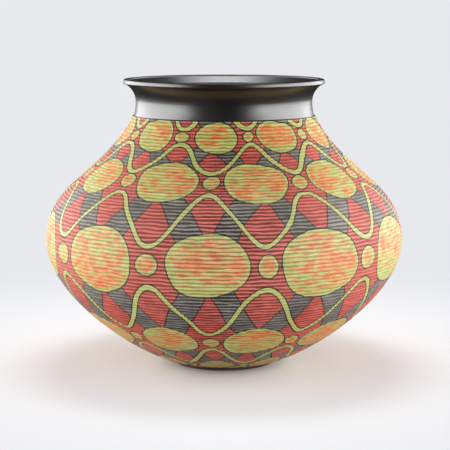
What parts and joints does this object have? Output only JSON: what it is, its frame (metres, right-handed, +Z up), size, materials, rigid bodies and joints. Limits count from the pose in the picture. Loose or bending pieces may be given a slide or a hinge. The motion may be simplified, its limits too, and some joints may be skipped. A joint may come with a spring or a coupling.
{
  "type": "corrugated water jar",
  "caption": "Wide-bellied ceramic water jar with a finely corrugated, slip-painted wall, a short burnished neck with a flared lip, and a low foot. Open at the top.",
  "frame": {"origin": "on the jar's axis, in the plane that the foot rests on", "axes": "+Z up along the jar's axis; -Y faces the viewer of the front, and +X is on the viewer's right"},
  "size_m": [0.32, 0.32, 0.2557],
  "materials": {
    "painted_slip": "matte coloured slips over a ribbed wall, cut back to dark clay in the grooves",
    "burnished_clay": "dark brown-black clay, burnished to a soft gloss",
    "bare_clay": "matte, unglazed"
  },
  "bodies": {
    "root": {"foot_ring": "bare_clay", "floor_disc": "bare_clay", "lower_wall": "painted_slip", "shoulder_wall": "painted_slip", "neck_collar": "burnished_clay", "rim_lip": "burnished_clay"}
  },
  "joints": []
}
